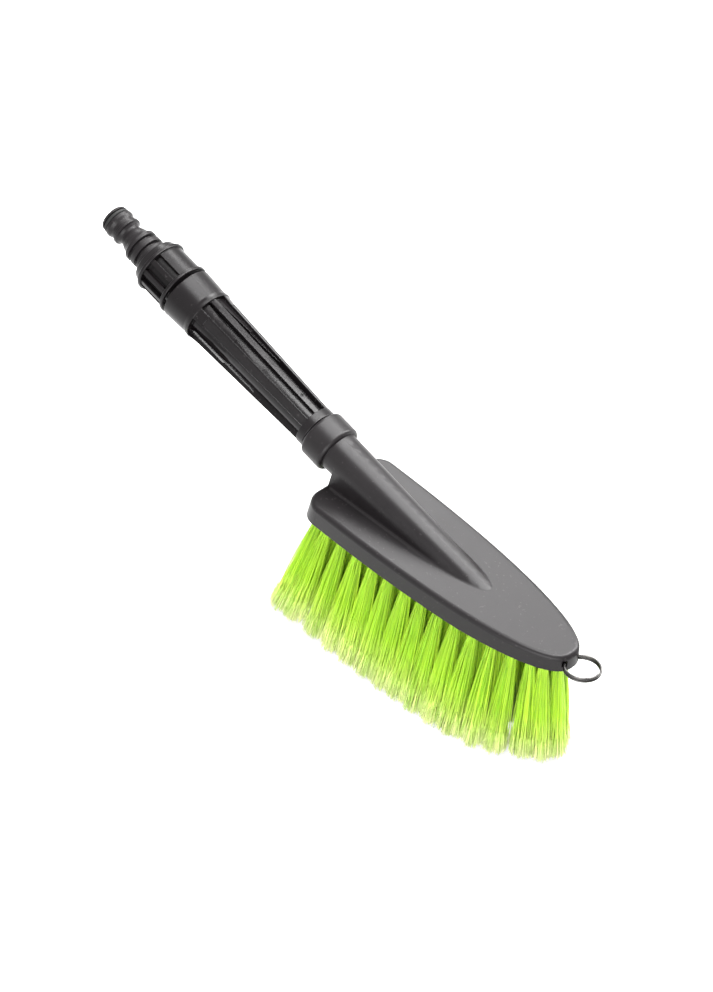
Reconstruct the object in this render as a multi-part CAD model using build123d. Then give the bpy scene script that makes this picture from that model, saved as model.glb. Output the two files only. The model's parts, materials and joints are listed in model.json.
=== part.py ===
from build123d import *
import math
import os

# Wash brush fed by a garden hose. Lengths are in millimetres and angles in degrees.
# The block lies along X with its rear edge at X = 0 and its nose at +X.
# Its deck is at Z = 0 while the pieces are made, and the bristles point to -Z.

# Shared values
overrun = 5.0
seat_clearance = 0.15
running_clearance = 0.10
ring_seal_clearance = 0.05

# Block
block_length = 157.0
block_width = 50.8
block_height = 11.7
nose_height = 8.9
rim_bend_share = 0.66
rear_corner_radius = 9.6
rear_side_run = 2.175
rear_wall_run = 2.4
deck_edge_radius = 2.4
deck_wall = 2.6
side_wall = 3.0
plate_ledge = 2.4
side_power_share = 0.91
nose_power_share = 0.82
outline_turns = [18, 36, 54, 69, 80, 86]

# Neck and socket of the head
neck_tilt = 13.6
neck_entry_height = 13.1
neck_radius = 10.6
neck_run = 3.6
neck_tip_x = 102.0
neck_tip_radius = 6.9
web_run = 3.5
foot_radius = 1.5
channel_radius = 6.0
socket_collar_radius = 12.8
socket_collar_length = 13.9
socket_edge_radius = 1.8

# Tuft plate and tufts
plate_recess = 0.6
slice_thickness = 2.0
chamber_height = 2.2
tuft_columns = 12
rear_tuft_inset = 5.6
first_tuft_inset = 11.9
last_tuft_inset = 28.5
nose_column_insets = [18.6, 12.3]
outer_row_inset = 6.5
inner_row_share = 0.52
inner_row_reach = 12.5
nose_tuft_inset = 9.0
strands_around = 6
bundle_root_radius = 1.55
bundle_tip_radius = 4.4
strand_root_radius = 0.62
strand_tip_radius = 0.80
strand_sink = 0.5
bristle_length = 62.2
bristle_trim = 0.5
short_strand_steps = [0.0, 1.2, 2.4]
rear_lean = 15.0
nose_lean = 2.4
side_lean = 13.5
fan_centre_share = 0.45
outlet_radius = 1.6
anchor_width = 3.0
anchor_thickness = 0.5
anchor_height = 1.6
anchor_cover = 0.2
columns_per_zone = 3

# Hanging ring
gap_samples = 24
ring_mean_radius = 8.54
ring_wire_radius = 0.6
ring_turn_pitch = 1.5
ring_overhang = 6.0
ring_level = 5.47
ring_droop = -4.0
ring_lift = 15.0
ring_roll = 7.0
ring_step_angle = 40.0
ring_end_angle = 35.0
ring_pocket_clearance = 0.5
ring_rest_gap = 0.25
nose_partition = 1.5

# Hose connector
connector_length = 31.9
connector_radius = 8.0
connector_bore_radius = 4.2
spigot_radius = 6.25
spigot_length = 10.3
seal_wire_radius = 1.0
nose_groove_start = 1.4
nose_groove_depth = 2.4
nose_groove_play = 0.5
washer_thickness = 1.4
washer_bore_radius = 4.6
# Station along the connector and radius there, as shares of its length and its body radius
connector_outline_shares = [
    (0.000, 0.870), (0.028, 0.935), (0.128, 0.935), (0.134, 1.000), (0.184, 1.000),
    (0.235, 0.905), (0.300, 0.905), (0.312, 0.985), (0.357, 0.985), (0.372, 0.860),
    (0.410, 0.750), (0.452, 0.750), (0.520, 0.870), (0.580, 0.940), (0.630, 1.060),
    (0.652, 1.140), (0.708, 1.140), (0.716, 0.900), (0.770, 0.900), (0.778, 1.140),
    (0.856, 1.140), (0.864, 0.900), (0.912, 0.900), (0.920, 1.150), (1.000, 1.150),
]

# Valve body
stem_radius = 8.0
valve_inlet_radius = 4.0
stem_bore_radius = 4.6
stem_spigot_length = 15.4
partition_thickness = 3.0
port_height = 3.2
port_width = 7.0
port_gap = 0.6
groove_width = 1.9
o_ring_wire_radius = 0.75
valve_seal_inset = 3.2
stem_seal_inset = 4.0

# Valve collar
collar_play = 0.4
collar_length = 22.8
collar_handle_gap = 1.9
collar_mouth_radius = 12.2
collar_ring_radius = 14.4
collar_body_radius = 13.4
collar_core_radius = 10.9
collar_cone_length = 3.9
collar_ring_length = 1.9
collar_lip = 0.45
transfer_pocket_width = 9.0
transfer_pocket_radius = 10.3
collar_positions = 12
collar_block_angle = 76.0
collar_rib_angle = 11.0
valve_clocking = -22.0
valve_travel = 90.0
stop_inner_radius = 10.4
stop_outer_radius = 12.4
stop_height = 1.8
stop_angle = 14.0
stop_play_angle = 1.5

# Handle
band_length = 17.4
band_top_radius = 14.35
band_waist_radius = 13.65
band_rim_radius = 13.95
band_rim_length = 1.6
band_rim_lip = 0.2
rib_length = 78.6
rib_top_radius = 13.0
rib_end_radius = 10.5
tongue_length = 6.0
lower_ring_radius = 10.9
lower_ring_length = 4.7
socket_gap = 0.4
handle_bore_radius = 5.5
handle_spigot_radius = 8.0
handle_spigot_length = 24.0
neck_seal_inset = 4.0
pad_depth = 1.3
pad_length = 23.6
pad_tip_depth = 2.0
pad_tip_length = 49.0
pocket_top_depth = 3.6
pocket_end_depth = 2.6
step_run = 0.8
top_rib_half_angle = 7.5
pad_edge_angle = 13.0
strip_start_angle = 33.0
strip_end_angle = 60.0
strip_rim_angle = 2.5
strip_recess = 0.35
side_pad_end_angle = 80.0
gate_radius = 0.8
gate_depth = 0.6
gate_inset = 11.5

# Worked out from the sizes above
half_width = block_width / 2
widest_x = rear_corner_radius + rear_side_run
nose_reach = block_length - widest_x
rim_bend_x = block_length * rim_bend_share
plate_inset = side_wall + seat_clearance
chamber_inset = side_wall + plate_ledge
plate_top = deck_wall + chamber_height
fan_centre = block_length * fan_centre_share
floor_level = -(block_height + bristle_length - bristle_trim)
ring_centre_x = block_length + ring_overhang
pocket_back_x = ring_centre_x - ring_mean_radius - ring_wire_radius - ring_pocket_clearance
cavity_end_x = pocket_back_x - nose_partition
column_pitch = (block_length - first_tuft_inset - last_tuft_inset) / (tuft_columns - 1)
ring_axis_x = ring_centre_x - ring_mean_radius

collar_start = connector_length + collar_play
collar_end = collar_start + collar_length
handle_start = collar_end + collar_handle_gap
rib_start = handle_start + band_length
rib_end = rib_start + rib_length
handle_end = rib_end + lower_ring_length
socket_start = handle_end + socket_gap
socket_end = socket_start + socket_collar_length
rear_edge_station = socket_end + neck_run
spigot_end = handle_end + handle_spigot_length
tilt_sine = math.sin(math.radians(neck_tilt))
tilt_cosine = math.cos(math.radians(neck_tilt))
ridge_end_station = rear_edge_station + (neck_entry_height / tilt_sine) + neck_radius / tilt_sine
rear_wall_station = rear_edge_station + rear_wall_run
web_station = rear_edge_station + web_run
neck_start_x = -neck_run * tilt_cosine
neck_start_height = neck_entry_height + neck_run * tilt_sine
neck_top_x = neck_start_x + neck_radius * tilt_sine
neck_top_height = neck_start_height + neck_radius * tilt_cosine
neck_top_length = math.hypot(neck_tip_x - neck_top_x, neck_top_height)
neck_half_angle = math.degrees(math.asin((neck_radius - neck_tip_radius) / neck_top_length))
neck_axis_tilt = math.degrees(math.atan2(neck_top_height, neck_tip_x - neck_top_x)) - neck_half_angle
neck_taper = math.tan(math.radians(neck_half_angle))
neck_length = neck_top_length + 2 * deck_wall / tilt_sine

# The stem's own frame: Z runs from the connector's free end to the head, X points up
stem_frame = Plane(
    origin=(-rear_edge_station * tilt_cosine, 0, neck_entry_height + rear_edge_station * tilt_sine),
    x_dir=(tilt_sine, 0, tilt_cosine),
    z_dir=(tilt_cosine, 0, -tilt_sine),
)
# The tapered neck's frame starts where the socket ends, with Z along its own axis
neck_frame = Location((neck_start_x, 0, neck_start_height)) * Rot(Y=90 + neck_axis_tilt)


def on_stem(shape):
    """Place a shape that was made about the stem's axis."""
    return stem_frame.location * shape


def turned(points, radii=None):
    """Solid of revolution about Z from (radius, station) corners, some of them rounded."""
    corners = [(radius, 0, station) for radius, station in points]
    if radii is None:
        outline = Polyline(*corners, close=True)
    else:
        outline = FilletPolyline(*corners, radius=radii, close=True)
    return revolve(make_face(outline), axis=Axis.Z)


def turned_sector(points, start, end):
    """The part of a revolved profile that lies between two angles about Z."""
    corners = [(radius, 0, station) for radius, station in points]
    sector = revolve(make_face(Polyline(*corners, close=True)), axis=Axis.Z, revolution_arc=end - start)
    return Rot(Z=start) * sector


def rod(radius, start, end):
    """Round bar about Z from one station to another."""
    return Pos(Z=start) * Cylinder(radius, end - start, align=(Align.CENTER, Align.CENTER, Align.MIN))


def o_ring(groove_floor, wire_radius, station):
    """Rubber ring that sits on a groove's floor."""
    mean_radius = groove_floor + ring_seal_clearance + wire_radius
    return Pos(Z=station) * Torus(mean_radius, wire_radius)


def ahead_of(station):
    """Everything that lies towards the nose from one station of the stem."""
    side = 4 * block_length
    slab = Box(side, side, side, align=(Align.CENTER, Align.CENTER, Align.MIN))
    return on_stem(Pos(Z=station) * slab)


def behind(x):
    """Everything of the block that lies towards the rear from one place along it."""
    return Pos(X=x) * Box(
        block_length * 2, block_width, block_height * 4, align=(Align.MAX, Align.CENTER, Align.CENTER)
    )


# Block outline
def side_point(turn, inset):
    """Point of the outline's side; turn is 0 at the widest place and 90 at the nose."""
    angle = math.radians(turn)
    reach = nose_reach - inset
    x = widest_x + reach * math.sin(angle) ** side_power_share
    y = (half_width - inset) * math.cos(angle) ** nose_power_share
    return x, y


def half_width_at(x, inset=0):
    """Half the width of the outline at a distance along the block."""
    share = (x - widest_x) / (nose_reach - inset)
    if share <= 0:
        return half_width - inset
    turn = math.asin(min(share, 1) ** (1 / side_power_share))
    return (half_width - inset) * math.cos(turn) ** nose_power_share


def outline_face(inset):
    """The block's boat-shaped outline, drawn in by an inset and left square beyond its rear."""
    half = half_width - inset
    rear_x = -2 * overrun
    side = [side_point(turn, inset) for turn in outline_turns]
    around = [(widest_x, half)] + side + [(block_length - inset, 0)]
    around += [(x, -y) for x, y in reversed(side)] + [(widest_x, -half)]
    nose = Spline(*around, tangents=[(1, 0), (-1, 0)])
    rear = Polyline((widest_x, -half), (rear_x, -half), (rear_x, half), (widest_x, half))
    return make_face([*nose.edges(), *rear.edges()])


def outline_prism(inset, low, high):
    """The outline raised between two levels, with a rounded rear wall that is square to the stem."""
    prism = Pos(Z=low) * extrude(outline_face(inset), amount=high - low)
    prism &= ahead_of(rear_wall_station + inset)
    sides = [
        edge for edge in prism.edges() if abs(edge.center().Y) > half_width - inset - seat_clearance
    ]
    rear_edges = sorted(sides, key=lambda edge: edge.center().X)[:2]
    return fillet(rear_edges, max(rear_corner_radius - inset, side_wall))


def rim_level(x):
    """Height of the block's lower rim, which rises towards the nose."""
    if x <= rim_bend_x:
        return -block_height
    rise = (x - rim_bend_x) / (block_length - rim_bend_x)
    return -block_height + rise * (block_height - nose_height)


def band_under_rim(start, end, lift, thickness):
    """Slab that follows the rim's level from one X to another, lifted and of one thickness."""
    stations = [start]
    if start < rim_bend_x < end:
        stations.append(rim_bend_x)
    stations.append(end)
    lower = [(x, 0, rim_level(x) + lift) for x in stations]
    upper = [(x, 0, rim_level(x) + lift + thickness) for x in reversed(stations)]
    side = make_face(Polyline(*lower, *upper, close=True))
    return extrude(side, amount=block_width, both=True)


def plate_bounds():
    """Box that ends the plate behind the ring's pocket."""
    return behind(cavity_end_x - seat_clearance)


# Tuft places
def column_places():
    """Distances of the tuft columns along the block, from the rear to the nose."""
    columns = [first_tuft_inset + column * column_pitch for column in range(tuft_columns)]
    nose = [block_length - inset for inset in nose_column_insets]
    return [rear_tuft_inset] + columns + nose


def zone_edges():
    """Distances at which one zone of tufts ends and the next begins."""
    columns = column_places()
    firsts = range(columns_per_zone, tuft_columns + 1, columns_per_zone)
    return [(columns[first - 1] + columns[first]) / 2 for first in firsts] + [block_length]


def tuft_places():
    """One list of root places for each zone, and the places of the water outlets."""
    edges = zone_edges()
    zones = [[] for edge in edges]
    outlets = []
    for column, x in enumerate(column_places()):
        zone = zones[sum(x > edge for edge in edges)]
        outer = half_width_at(x) - outer_row_inset
        rows = [outer, -outer]
        if outer > inner_row_reach:
            rows += [outer * inner_row_share, -outer * inner_row_share]
        zone += [(x, y) for y in rows]
        if column % 2 == 1 and column <= tuft_columns + 1:
            zone.append((x, 0))
        elif 0 < column < tuft_columns:
            outlets.append(x)
    zones[-1].append((block_length - nose_tuft_inset, 0))
    return zones, outlets


def fanned(x, y):
    """Where a tuft that is rooted at x, y has its tip."""
    if x < fan_centre:
        lean = -rear_lean * ((fan_centre - x) / fan_centre) ** 3
    else:
        lean = nose_lean * ((x - fan_centre) / (block_length - fan_centre)) ** 2
    return x + lean, y + side_lean * y / (half_width_at(x) - outer_row_inset)


def tip_radius(x, y, zones):
    """Radius of a tuft at its tip, which stays clear of the nearest other tip."""
    tip = Vector(*fanned(x, y))
    ways = [(Vector(*fanned(*place)) - tip).length for zone in zones for place in zone]
    nearest = sorted(ways)[1]
    return min(bundle_tip_radius, nearest / 2 - strand_tip_radius - running_clearance)


def triangle(centre, radius, angle):
    """Corners of a level triangle about a centre."""
    x, y, z = centre
    turns = [math.radians(angle + corner * 120) for corner in range(3)]
    return [(x + radius * math.cos(turn), y + radius * math.sin(turn), z) for turn in turns]


def strand(root, tip, end_level, angle):
    """Three-sided strand from its root towards its tip, trimmed level at end_level."""
    share = (root[2] - end_level) / (root[2] - tip[2])
    end = [start + share * (stop - start) for start, stop in zip(root, tip)]
    end_radius = strand_root_radius + share * (strand_tip_radius - strand_root_radius)
    upper = triangle(root, strand_root_radius, angle)
    lower = triangle(end, end_radius, angle)
    rings = [Face(Wire.make_polygon(corners, close=True)) for corners in (upper, lower)]
    for corner in range(3):
        after = (corner + 1) % 3
        side = [upper[corner], upper[after], lower[after], lower[corner]]
        rings.append(Face(Wire.make_polygon(side, close=True)))
    return Solid(Shell(rings))


def tuft(x, y, order, spread):
    """The strands of one tuft, a middle one and a ring of them that flares."""
    root_level = rim_level(x) + plate_recess + strand_sink
    tip_level = -(block_height + bristle_length)
    tip_x, tip_y = fanned(x, y)
    strands = [strand((x, y, root_level), (tip_x, tip_y, tip_level), floor_level, 0)]
    for index in range(strands_around):
        turn = 360 * (index + order % 2 / 2) / strands_around
        across, along = math.cos(math.radians(turn)), math.sin(math.radians(turn))
        root = (x + bundle_root_radius * across, y + bundle_root_radius * along, root_level)
        tip = (tip_x + spread * across, tip_y + spread * along, tip_level)
        short = short_strand_steps[(index + order) % len(short_strand_steps)]
        strands.append(strand(root, tip, floor_level + short, turn))
    return strands


# Head moulding
def neck_radius_at(run):
    """Radius of the tapered neck at a distance along its axis."""
    return neck_radius - run * neck_taper


def neck():
    """Tapered neck that runs down into the deck as a ridge, with the socket's collar at its start."""
    collar = turned(
        [
            (0, socket_start),
            (socket_collar_radius, socket_start),
            (socket_collar_radius, socket_end),
            (0, socket_end),
        ],
        [0, socket_edge_radius, socket_edge_radius, 0],
    )
    cone = turned(
        [
            (0, -overrun),
            (neck_radius_at(-overrun), -overrun),
            (neck_radius_at(neck_length), neck_length),
            (0, neck_length),
        ]
    )
    return on_stem(Rot(Z=180) * collar) + neck_frame * (Rot(Z=180) * cone)


def neck_web():
    """Foot with flat sides that fills the wedge between the neck and the deck."""
    near, far = neck_radius_at(0), neck_radius_at(neck_length)
    plan = Polyline(
        (0, -near, 0), (0, -far, neck_length), (0, far, neck_length), (0, near, 0), close=True
    )
    foot = extrude(make_face(plan), amount=neck_entry_height + block_height, dir=(1, 0, 0))
    return (neck_frame * foot) & ahead_of(web_station)


def under_deck():
    """Everything below the deck's inner side."""
    return Pos(Z=-deck_wall) * Box(
        6 * block_length, 2 * block_width, block_length, align=(Align.CENTER, Align.CENTER, Align.MAX)
    )


def neck_rise():
    """Neck and web with the fillet where they meet the deck."""
    slab = Box(
        2 * block_length, 2 * block_width, deck_wall, align=(Align.CENTER, Align.CENTER, Align.MAX)
    )
    slab &= ahead_of(web_station)
    rise = (slab + neck() + neck_web()) - under_deck()
    tolerance = seat_clearance
    foot = []
    for edge in rise.edges():
        box = edge.bounding_box()
        level = max(abs(box.min.Z), abs(box.max.Z)) < tolerance
        if level and max(abs(box.min.Y), abs(box.max.Y)) < neck_radius + tolerance:
            foot.append(edge)
    rise = fillet(foot, foot_radius)
    rise -= Pos(Z=deck_wall) * under_deck()
    corner = Box(
        2 * deck_edge_radius,
        block_width,
        2 * foot_radius + overrun,
        align=(Align.CENTER, Align.MIN, Align.CENTER),
    )
    web_half = neck_radius_at(neck_run + web_run)
    return rise - Pos(Y=web_half) * corner - Pos(Y=-web_half - block_width) * corner


def water_path():
    """Socket bore and the channel that opens into the chamber."""
    socket = rod(handle_spigot_radius + seat_clearance, socket_start - overrun, spigot_end + socket_gap)
    channel = rod(channel_radius, spigot_end, ridge_end_station)
    return on_stem(socket + channel)


def ring_reach(angle):
    """Height that the ring takes up at the nose's front when it is turned from level."""
    half_stack = ring_turn_pitch / 2 + ring_wire_radius
    turn = math.radians(angle)
    run = block_length - ring_axis_x
    return run * math.tan(turn) + half_stack / math.cos(turn) + ring_rest_gap


def ring_pocket():
    """Curved slot through the nose in which the hanging ring lies; its lower lip is the ring's rest."""
    inner = ring_mean_radius - ring_wire_radius - ring_pocket_clearance
    outer = ring_mean_radius + ring_wire_radius + ring_pocket_clearance
    low = -ring_reach(ring_droop)
    high = ring_reach(ring_lift)
    slot = rod(outer, low, high) - rod(inner, low, high)
    return Pos(ring_centre_x, 0, -ring_level) * Rot(X=-ring_roll) * slot


def head_cover():
    """Hollow block with the neck on its deck."""
    block = outline_prism(0, -block_height, 0)
    deck = block.faces().sort_by(Axis.Z)[-1]
    block = fillet(deck.edges(), deck_edge_radius)
    head = block + (neck_web() - under_deck()) + neck_rise()
    cavity = outline_prism(side_wall, -block_height - overrun, -plate_top)
    chamber = outline_prism(chamber_inset, -plate_top - overrun, -deck_wall)
    head -= cavity & behind(cavity_end_x)
    head -= chamber & behind(cavity_end_x - plate_ledge)
    head -= band_under_rim(-2 * overrun, block_length + overrun, -block_height, block_height)
    head -= water_path()
    head -= ring_pocket()
    return head


# Tuft plate, tufts and their anchors
def outlet_holes(outlets):
    """Round water outlets along the middle of the plate."""
    return [Pos(x, 0, -block_height) * Cylinder(outlet_radius, 2 * block_height) for x in outlets]


def anchor_places(zones):
    """Middle of each anchor: its root place and the level of its lower edge."""
    places = []
    for zone in zones:
        for x, y in zone:
            places.append((x, y, rim_level(x) + plate_recess + slice_thickness + anchor_cover))
    return places


def tuft_plate(zones, outlets):
    """Plate that closes the block, with a slot for each anchor."""
    plate = outline_prism(plate_inset, -block_height, -plate_top) & plate_bounds()
    lift = plate_recess + slice_thickness
    plate -= band_under_rim(-2 * overrun, block_length + overrun, lift - block_height, block_height)
    slots = [
        Pos(x, y, level - overrun) * Box(
            anchor_width,
            anchor_thickness,
            anchor_height + overrun,
            align=(Align.CENTER, Align.CENTER, Align.MIN),
        )
        for x, y, level in anchor_places(zones)
    ]
    return plate.cut(*slots, *outlet_holes(outlets))


def tuft_anchors(zones):
    """Flat wire anchors, one across each tuft's fold."""
    return Compound(
        [
            Pos(x, y, level) * Box(
                anchor_width,
                anchor_thickness,
                anchor_height,
                align=(Align.CENTER, Align.CENTER, Align.MIN),
            )
            for x, y, level in anchor_places(zones)
        ]
    )


def bristle_zone(index, zones, outlets):
    """One zone of tufts on its slice of the plate."""
    edges = [-2 * overrun] + zone_edges()
    start, end = edges[index], edges[index + 1]
    backing = band_under_rim(start, end, plate_recess, slice_thickness)
    backing &= outline_prism(plate_inset, -block_height, -plate_top) & plate_bounds()
    for hole in outlet_holes([x for x in outlets if start < x < end]):
        backing -= hole
    strands = []
    for order, (x, y) in enumerate(zones[index]):
        strands += tuft(x, y, order, tip_radius(x, y, zones))
    return backing.solid().fuse(*strands), len(strands)


# Hanging ring
def ring_path():
    """Arcs of the split ring's two turns, level but for a step from the lower to the upper one."""
    half_pitch = ring_turn_pitch / 2
    half_step = math.radians(ring_step_angle) / 2
    radius = ring_mean_radius

    def on_ring(angle, level):
        return Vector(radius * math.cos(angle), radius * math.sin(angle), level)

    def turn(level):
        first = (math.pi - half_step) / 2
        return [
            ThreePointArc(*[on_ring(half_step + first * step, level) for step in (0, 1, 2)]),
            ThreePointArc(*[on_ring(half_step + first * step, level) for step in (2, 3, 4)]),
        ]

    start = on_ring(-half_step, -half_pitch)
    end = on_ring(half_step, half_pitch)
    sine, cosine = math.sin(half_step), math.cos(half_step)
    across = radius * sine
    rise = math.hypot(across, half_pitch)
    bulge = (math.hypot(cosine * across, sine * rise) - cosine * across) / sine
    middle = Vector(radius * cosine + bulge, 0, 0)
    climb = [
        Edge.make_tangent_arc(start, Vector(sine, cosine, 0), middle),
        Edge.make_tangent_arc(end, Vector(sine, -cosine, 0), middle).reversed(),
    ]
    return turn(-half_pitch) + climb + turn(half_pitch)


def hang_ring():
    """Split ring of two turns of round wire, one unbroken tube."""
    path = Wire([edge for piece in ring_path() for edge in piece.edges()])
    section = Plane(path @ 0, z_dir=path % 0) * Circle(ring_wire_radius)
    wire = Rot(Z=ring_end_angle) * sweep(section, path)
    placed = Pos(X=ring_mean_radius) * wire
    return Pos(ring_axis_x, 0, -ring_level) * Rot(X=-ring_roll) * Rot(Y=ring_droop) * placed


def ring_gap():
    """Least gap between the ring's two turns, measured on points of its path."""
    points = []
    for piece in ring_path():
        points += [piece @ (step / gap_samples) for step in range(gap_samples)]
    apart = len(points) // 3
    spans = [
        (points[first] - points[second]).length
        for first in range(len(points))
        for second in range(first + apart, len(points))
    ]
    return min(spans) - 2 * ring_wire_radius


# Connector, valve and handle
def hose_connector():
    """Male half of a click coupling with three flanges behind it."""
    outline = [
        (radius_share * connector_radius, station_share * connector_length)
        for station_share, radius_share in connector_outline_shares
    ]
    body = turned([(0, 0)] + outline + [(0, connector_length)])
    groove_floor = connector_radius - nose_groove_depth
    groove_end = nose_groove_start + 2 * (seal_wire_radius + ring_seal_clearance) + nose_groove_play
    body -= rod(connector_radius, nose_groove_start, groove_end) - rod(
        groove_floor, nose_groove_start, groove_end
    )
    body -= rod(connector_bore_radius, -overrun, connector_length)
    seat = connector_length - spigot_length - washer_thickness
    body -= rod(spigot_radius + seat_clearance, seat, connector_length + overrun)
    return on_stem(body)


def connector_oring():
    """O-ring on the connector's nose."""
    station = nose_groove_start + seal_wire_radius + ring_seal_clearance + nose_groove_play / 2
    return on_stem(o_ring(connector_radius - nose_groove_depth, seal_wire_radius, station))


def connector_washer():
    """Flat washer at the bottom of the connector's socket."""
    seat = connector_length - spigot_length - washer_thickness
    washer = rod(spigot_radius, seat, seat + washer_thickness)
    washer -= rod(washer_bore_radius, seat, seat + washer_thickness)
    return on_stem(washer)


def valve_seal_stations():
    """Where the collar's two seals lie along the stem."""
    return collar_start + valve_seal_inset, collar_end - valve_seal_inset


def seal_groove(station, floor_radius):
    """Ring of material to cut for an O-ring's groove."""
    start, end = station - groove_width / 2, station + groove_width / 2
    return rod(stem_radius + overrun, start, end) - rod(floor_radius, start, end)


def valve_body():
    """Fixed stem, closed in its middle, with two ports on each side of the partition."""
    middle = (collar_start + collar_end) / 2
    stem_end = handle_start + stem_spigot_length
    body = rod(stem_radius, connector_length, stem_end)
    body += rod(spigot_radius, connector_length - spigot_length, connector_length)
    partition_start = middle - partition_thickness / 2
    partition_end = middle + partition_thickness / 2
    body -= rod(valve_inlet_radius, connector_length - spigot_length - overrun, partition_start)
    body -= rod(stem_bore_radius, partition_end, stem_end + overrun)
    floor_radius = stem_radius - 2 * o_ring_wire_radius - ring_seal_clearance
    for station in valve_seal_stations():
        body -= seal_groove(station, floor_radius)
    body -= seal_groove(stem_end - stem_seal_inset, floor_radius)
    for centre in (
        partition_start - port_gap - port_height / 2,
        partition_end + port_gap + port_height / 2,
    ):
        window = Box(2 * (stem_radius + overrun), port_width, port_height)
        body -= Rot(Z=valve_clocking) * Pos(Z=centre) * window
    return on_stem(body)


def valve_orings():
    """The two seals between the stem and the collar."""
    floor_radius = stem_radius - 2 * o_ring_wire_radius - ring_seal_clearance
    rings = [o_ring(floor_radius, o_ring_wire_radius, station) for station in valve_seal_stations()]
    return Compound([on_stem(ring) for ring in rings])


def stem_oring():
    """Seal between the stem and the handle."""
    floor_radius = stem_radius - 2 * o_ring_wire_radius - ring_seal_clearance
    station = handle_start + stem_spigot_length - stem_seal_inset
    return on_stem(o_ring(floor_radius, o_ring_wire_radius, station))


def neck_oring():
    """Seal between the handle's spigot and the head."""
    floor_radius = handle_spigot_radius - 2 * o_ring_wire_radius - ring_seal_clearance
    return on_stem(o_ring(floor_radius, o_ring_wire_radius, spigot_end - neck_seal_inset))


def collar_window_spans():
    """Angles between the grip blocks and ribs of the collar, as start and end pairs."""
    pitch = 360 / collar_positions
    spans = []
    for side in (0, 180):
        walls = [(-collar_block_angle / 2, collar_block_angle / 2)]
        for position in range(2, collar_positions // 2 - 1):
            centre = position * pitch
            walls.append((centre - collar_rib_angle / 2, centre + collar_rib_angle / 2))
        walls.append((180 - collar_block_angle / 2, 180 + collar_block_angle / 2))
        for before, after in zip(walls, walls[1:]):
            spans.append((side + before[1], side + after[0]))
    return spans


def valve_collar():
    """Twist collar with ribs between two rings and two pockets that bridge the ports."""
    cone_end = collar_start + collar_cone_length
    upper_end = cone_end + collar_ring_length
    lower_start = collar_end - collar_ring_length
    body = turned(
        [
            (stem_radius + running_clearance, collar_start),
            (collar_mouth_radius, collar_start),
            (collar_body_radius, cone_end),
            (collar_ring_radius, cone_end),
            (collar_ring_radius, upper_end),
            (collar_body_radius, upper_end),
            (collar_body_radius, lower_start),
            (collar_ring_radius, lower_start),
            (collar_ring_radius, collar_end),
            (stem_radius + running_clearance, collar_end),
        ],
        [0, 2 * collar_lip, 0, collar_lip, collar_lip, 0, 0, collar_lip, collar_lip, 0],
    )
    window = [
        (collar_core_radius, upper_end),
        (collar_ring_radius + overrun, upper_end),
        (collar_ring_radius + overrun, lower_start),
        (collar_core_radius, lower_start),
    ]
    for start, end in collar_window_spans():
        body -= turned_sector(window, start, end)
    middle = (collar_start + collar_end) / 2
    pocket_length = partition_thickness + 2 * (2 * port_gap + port_height)
    body -= Pos(Z=middle) * Box(2 * transfer_pocket_radius, transfer_pocket_width, pocket_length)
    reach = stop_height + collar_handle_gap + ring_seal_clearance
    track = [
        (stop_inner_radius - running_clearance, collar_end - reach),
        (stop_outer_radius + running_clearance, collar_end - reach),
        (stop_outer_radius + running_clearance, collar_end + overrun),
        (stop_inner_radius - running_clearance, collar_end + overrun),
    ]
    half_stop = stop_angle / 2 + stop_play_angle
    body -= turned_sector(track, 180 - half_stop - valve_travel, 180 + half_stop)
    return on_stem(Rot(Z=valve_clocking) * body)


def mirrored_spans(spans):
    """Repeat spans of the upper near quarter in the other three quarters."""
    result = []
    for start, end in spans:
        result += [(start, end), (-end, -start), (180 - end, 180 - start), (180 + start, 180 + end)]
    return result


def pad_wedge(open_angle, strip_angle):
    """Room of a pad that is as wide as its groove at the band and tapers to a point at the strip."""
    middle = (open_angle + strip_angle) / 2
    pad = rib_top_radius - pad_depth
    reach = pad * math.sin(math.radians(strip_angle - middle))
    far = math.copysign(band_top_radius, reach)
    tip = rib_start + pad_tip_length
    plan = Polyline((0, -reach, rib_start), (0, far, rib_start), (0, far, tip), (0, reach, tip), close=True)
    wedge = extrude(make_face(plan), amount=2 * band_top_radius, dir=(1, 0, 0))
    return Rot(Z=middle) * wedge


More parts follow.
